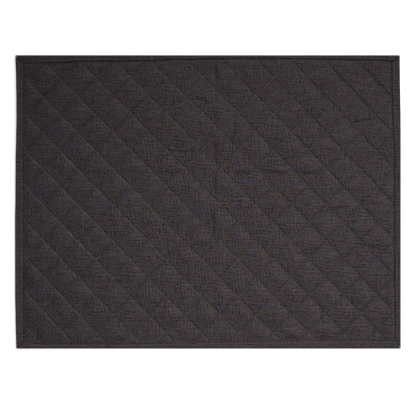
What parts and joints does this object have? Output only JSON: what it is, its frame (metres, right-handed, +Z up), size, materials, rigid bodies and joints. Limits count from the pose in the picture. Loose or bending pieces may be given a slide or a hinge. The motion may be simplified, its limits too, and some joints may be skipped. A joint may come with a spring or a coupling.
{
  "type": "fabric placemat",
  "caption": "Rectangular diamond-quilted fabric placemat with a narrow folded binding and mitred corners, lying flat.",
  "frame": {"origin": "middle of the mat on the table top", "axes": "+X along the mat's length, +Y across it and away from the diner, +Z up"},
  "size_m": [0.46, 0.35, 0.0036],
  "materials": {
    "quilted_cloth": "matte charcoal plain-weave cotton, quilted over wadding",
    "binding_cloth": "the same matte charcoal cotton, folded as a strip"
  },
  "bodies": {
    "root": {"quilted_panel": "quilted_cloth", "binding_front": "binding_cloth", "binding_right": "binding_cloth", "binding_back": "binding_cloth", "binding_left": "binding_cloth"}
  },
  "joints": []
}
